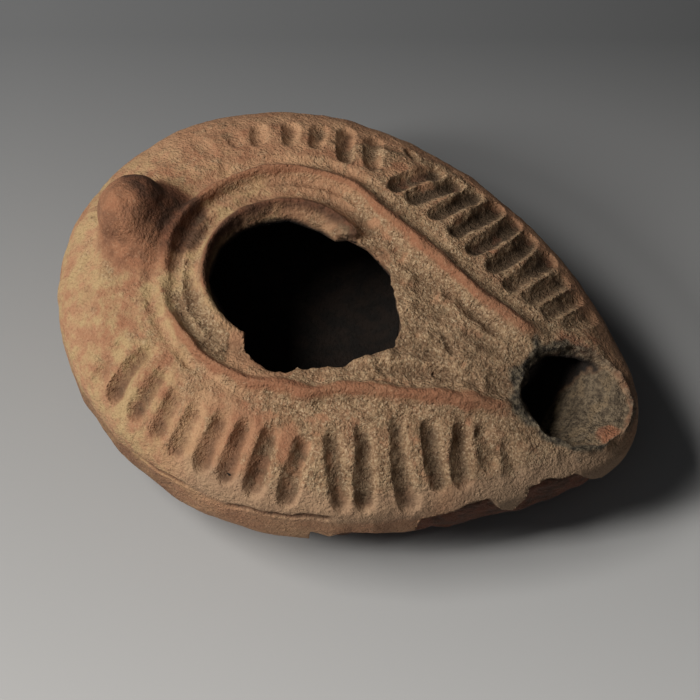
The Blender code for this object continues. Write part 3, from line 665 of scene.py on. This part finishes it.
def clay_material():
    mat = bpy.data.materials.new("fired_clay")
    t = Tree(mat)
    obj = t.node("ShaderNodeTexCoord").outputs["Object"]
    big = t.noise(obj, 85.0, 3.0)            # broad drifts of colour, about 1 cm
    mid = t.noise(obj, 330.0, 4.0, 0.6)      # patches of a few millimetres
    sand = t.noise(obj, 1100.0, 3.0, 0.6)    # sand under a millimetre
    fine = t.noise(obj, 2600.0, 2.0, 0.6)    # single grains
    crust, soot, red = t.attr("m_crust"), t.attr("m_soot"), t.attr("m_red")
    crest, hollow, tan, inner, knob = t.attr("m_crest"), t.attr("m_hollow"), t.attr("m_tan"), t.attr("m_inner"), t.attr("m_knob")
    pale, fresh, tray, painted_shade_and_crack = t.attr("m_pale"), t.attr("m_fresh"), t.attr("m_tray"), t.attr("m_painted_shade_and_crack")

    def shifted(amount, pattern, gain):
        return t.math("ADD", amount, t.math("MULTIPLY", t.math("SUBTRACT", pattern, 0.5), gain))

    base = t.mix(t.ramp(big, 0.36, 0.64), srgb(160, 117, 87), srgb(178, 139, 105))
    base = t.mix(t.math("MULTIPLY", t.ramp(mid, 0.42, 0.66), 0.55), base, srgb(158, 114, 85))
    base = t.mix(t.math("MULTIPLY", tan, t.ramp(mid, 0.62, 0.36)), base, srgb(172, 144, 104))
    # worn crests of ridges show the redder clay
    worn = t.math("MULTIPLY", t.ramp(shifted(crest, mid, 1.2), 0.16, 0.75), 0.82)
    base = t.mix(worn, base, srgb(144, 95, 68))
    base = t.mix(t.math("MULTIPLY", pale, 0.7), base, srgb(158, 134, 108))
    # gritty crust: pale grains over brown dirt
    amount = t.ramp(shifted(crust, t.noise(obj, 420.0, 4.0, 0.75), 1.7), 0.15, 0.95)
    amount = t.math("MULTIPLY", amount, t.math("SUBTRACT", 1.0, t.math("MULTIPLY", worn, 0.75)))
    patch = t.noise(obj, 240.0, 4.0, 0.65, 0.4)
    base = t.mix(t.math("MULTIPLY", crust, t.ramp(patch, 0.42, 0.60)), base, srgb(150, 111, 80))
    crusty = t.mix(t.ramp(sand, 0.36, 0.62), srgb(136, 110, 82), srgb(182, 156, 121))
    crusty = t.mix(t.math("MULTIPLY", t.ramp(fine, 0.54, 0.68), 0.7), crusty, srgb(210, 188, 154))
    base = t.mix(t.math("MULTIPLY", amount, 0.62), base, crusty)
    spots = t.math("MULTIPLY", t.math("MULTIPLY", t.ramp(t.noise(obj, 480.0, 4.0, 0.7), 0.56, 0.68), crust), 0.48)
    base = t.mix(spots, base, srgb(92, 72, 50))
    # dirt in the hollows
    dirt = t.math("MULTIPLY", t.ramp(shifted(hollow, mid, 0.9), 0.30, 1.10), 0.46)
    base = t.mix(dirt, base, srgb(84, 61, 43))
    # recessed red-brown lower half
    base = t.mix(red, base, t.mix(t.ramp(mid, 0.4, 0.62), srgb(112, 66, 46), srgb(78, 50, 36)))
    base = t.mix(t.math("MULTIPLY", knob, 0.75), base, t.mix(t.ramp(mid, 0.38, 0.62), srgb(140, 90, 63), srgb(112, 74, 53)))
    base = t.mix(fresh, base, t.mix(t.ramp(mid, 0.4, 0.6), srgb(160, 106, 76), srgb(140, 94, 70)))
    # sandy grain of the clay everywhere
    base = t.mix(t.math("MULTIPLY", t.ramp(fine, 0.46, 0.34), t.math("ADD", 0.25, t.math("MULTIPLY", amount, 0.30))), base, srgb(84, 60, 43))
    base = t.mix(t.math("MULTIPLY", t.ramp(fine, 0.56, 0.68), t.math("ADD", 0.12, t.math("MULTIPLY", amount, 0.22))), base, srgb(208, 182, 148))
    # painted shade: the clay is coloured greyer and darker towards the nozzle, standing in for the light falling off
    # away from the lights on the left
    base = t.mix(t.math("MULTIPLY", t.attr("m_nozzle_side_shade"), 0.26), base, srgb(42, 36, 30))
    # painted shade, darker brown: on the ring (partly its real browner clay), on the knob's far side with its painted
    # cast shadow, and in the deep flutes; the crack along the seam is darkened as well
    base = t.mix(t.math("MULTIPLY", t.ramp(shifted(painted_shade_and_crack, mid, 0.5), 0.10, 0.95), 0.85), base, t.mix(amount, t.mix(t.ramp(mid, 0.4, 0.62), srgb(96, 60, 42), srgb(62, 41, 29)), srgb(80, 64, 48)))
    # soot round the wick hole, and painted shade: the inside of the hollow coloured near-black
    sooty = t.mix(t.ramp(sand, 0.36, 0.62), srgb(48, 42, 34), srgb(112, 100, 82))
    base = t.mix(t.ramp(shifted(soot, mid, 0.7), 0.22, 0.85), base, sooty)
    gravel = t.mix(t.ramp(sand, 0.34, 0.66), srgb(76, 64, 50), srgb(122, 106, 85))
    gravel = t.mix(t.math("MULTIPLY", t.ramp(mid, 0.50, 0.62), 0.5), gravel, srgb(140, 118, 90))
    gravel = t.mix(t.math("MULTIPLY", t.ramp(fine, 0.46, 0.36), 0.6), gravel, srgb(50, 42, 34))
    base = t.mix(t.math("MULTIPLY", tray, t.math("SUBTRACT", 1.0, fresh)), base, gravel)
    # painted shade: the inside of the hollow is coloured near-black
    base = t.mix(inner, base, t.mix(t.ramp(mid, 0.4, 0.6), srgb(34, 25, 19), srgb(23, 18, 14)))

    # relief finer than the mesh, in metres
    rough = t.math("ADD", 0.80, t.math("MULTIPLY", amount, 0.8))
    h1 = t.math("MULTIPLY", t.noise(obj, 640.0, 3.0, 0.6), 0.00040)
    h2 = t.math("MULTIPLY", t.math("MULTIPLY", t.noise(obj, 1700.0, 3.0, 0.7), 0.00056), rough)
    h3 = t.math("MULTIPLY", t.math("MULTIPLY", t.ramp(t.voronoi(obj, 1000.0), 0.30, 0.05), -0.00010), rough)
    height = t.math("ADD", t.math("ADD", h1, h2), h3)
    bump_node = t.node("ShaderNodeBump")
    bump_node.inputs["Strength"].default_value = 1.0
    bump_node.inputs["Distance"].default_value = 1.0
    t.set(bump_node.inputs["Height"], height)
    shader = t.node("ShaderNodeBsdfPrincipled")
    t.set(shader.inputs["Base Color"], base)
    t.set(shader.inputs["Roughness"], t.math("ADD", 0.78, t.math("MULTIPLY", sand, 0.18)))
    shader.inputs["Specular IOR Level"].default_value = 0.30
    t.set(shader.inputs["Normal"], bump_node.outputs[0])
    out = t.node("ShaderNodeOutputMaterial")
    t.nt.links.new(shader.outputs[0], out.inputs[0])
    return mat


def floor_material():
    mat = bpy.data.materials.new("studio_floor")
    t = Tree(mat)
    obj = t.node("ShaderNodeTexCoord").outputs["Object"]
    sep = t.node("ShaderNodeSeparateXYZ")
    t.set(sep.inputs[0], obj)
    # painted light fall-off: the floor is coloured darker away from the front, more so to the right
    away = t.math("ADD", t.math("MULTIPLY", sep.outputs["X"], -0.39), t.math("MULTIPLY", sep.outputs["Y"], 0.92))
    across = t.math("ADD", t.math("MULTIPLY", sep.outputs["X"], 0.92), t.math("MULTIPLY", sep.outputs["Y"], 0.39))
    fac = t.ramp(away, -0.060, 0.066, False)
    left = t.mix(fac, (0.46, 0.459, 0.455), (0.140, 0.144, 0.148))
    right = t.mix(fac, (0.45, 0.450, 0.447), (0.082, 0.0845, 0.087))
    col = t.mix(t.ramp(across, -0.055, 0.060, False), left, right)
    shader = t.node("ShaderNodeBsdfPrincipled")
    t.set(shader.inputs["Base Color"], col)
    shader.inputs["Roughness"].default_value = 0.85
    shader.inputs["Specular IOR Level"].default_value = 0.2
    out = t.node("ShaderNodeOutputMaterial")
    t.nt.links.new(shader.outputs[0], out.inputs[0])
    return mat


lamp.data.materials.clear()
lamp.data.materials.append(clay_material())
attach(lamp, "root")
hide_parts("lamp_body")

# ----------------------------------------------------------- floor and lights
size = 3.0
floor_mesh = bpy.data.meshes.new("floor")
floor_mesh.from_pydata([(-size, -size, 0), (size, -size, 0), (size, size, 0), (-size, size, 0)], [], [(0, 1, 2, 3)])
floor = bpy.data.objects.new("floor", floor_mesh)
floor.location.z = -0.00005
bpy.context.scene.collection.objects.link(floor)
floor_mesh.materials.append(floor_material())


def area_light(name, direction, distance, width, height, power, colour=(1, 1, 1)):
    d = Vector(direction).normalized()
    data = bpy.data.lights.new(name, "AREA")
    data.shape = "RECTANGLE"
    data.size, data.size_y = width, height
    data.energy = power
    data.color = colour
    light = bpy.data.objects.new(name, data)
    light.location = d * distance + Vector((0, 0, 0.015))
    light.rotation_mode = "QUATERNION"
    light.rotation_quaternion = d.to_track_quat("Z", "Y")
    bpy.context.scene.collection.objects.link(light)
    return light


area_light("key_high", (-0.4842, -0.2156, 0.848), 0.9, 0.42, 0.20, 5.3, (1.0, 0.975, 0.94))
area_light("key_low", (-0.6375, -0.498, 0.5878), 0.9, 0.13, 0.30, 5.2, (1.0, 0.975, 0.94))
area_light("fill", (0.10, -0.45, 0.88), 1.2, 0.9, 0.9, 0.4, (0.95, 0.97, 1.0))
world = bpy.data.worlds.new("studio")
world.use_nodes = True
back_node = next(n for n in world.node_tree.nodes if n.type == "BACKGROUND")
back_node.inputs[0].default_value = (0.55, 0.57, 0.60, 1)
back_node.inputs[1].default_value = 0.045
bpy.context.scene.world = world
bpy.context.scene.view_settings.view_transform = "Standard"
bpy.context.scene.view_settings.look = "None"

# --------------------------------------------------------------------- camera
AZ, EL, ROLL = (math.radians(v) for v in (23.026, 63.0, 0.25))
back = Vector((math.sin(AZ) * math.cos(EL), -math.cos(AZ) * math.cos(EL), math.sin(EL)))
aim = Vector((1.456 + SHIFT[0], -4.821 + SHIFT[1], 22.0)) * 0.001
right0 = Vector((0, 0, 1)).cross(back).normalized()
up0 = back.cross(right0)
right = math.cos(ROLL) * right0 + math.sin(ROLL) * up0
up = -math.sin(ROLL) * right0 + math.cos(ROLL) * up0
cam_data = bpy.data.cameras.new("camera")
cam_data.sensor_width = 36.0
cam_data.lens = 3348.87 / 700 * 36.0
cam_data.clip_start, cam_data.clip_end = 0.01, 20.0
cam = bpy.data.objects.new("camera", cam_data)
cam.matrix_world = Matrix.Translation(aim + back * 0.520) @ Matrix((right, up, back)).transposed().to_4x4()
bpy.context.scene.collection.objects.link(cam)
bpy.context.scene.camera = cam
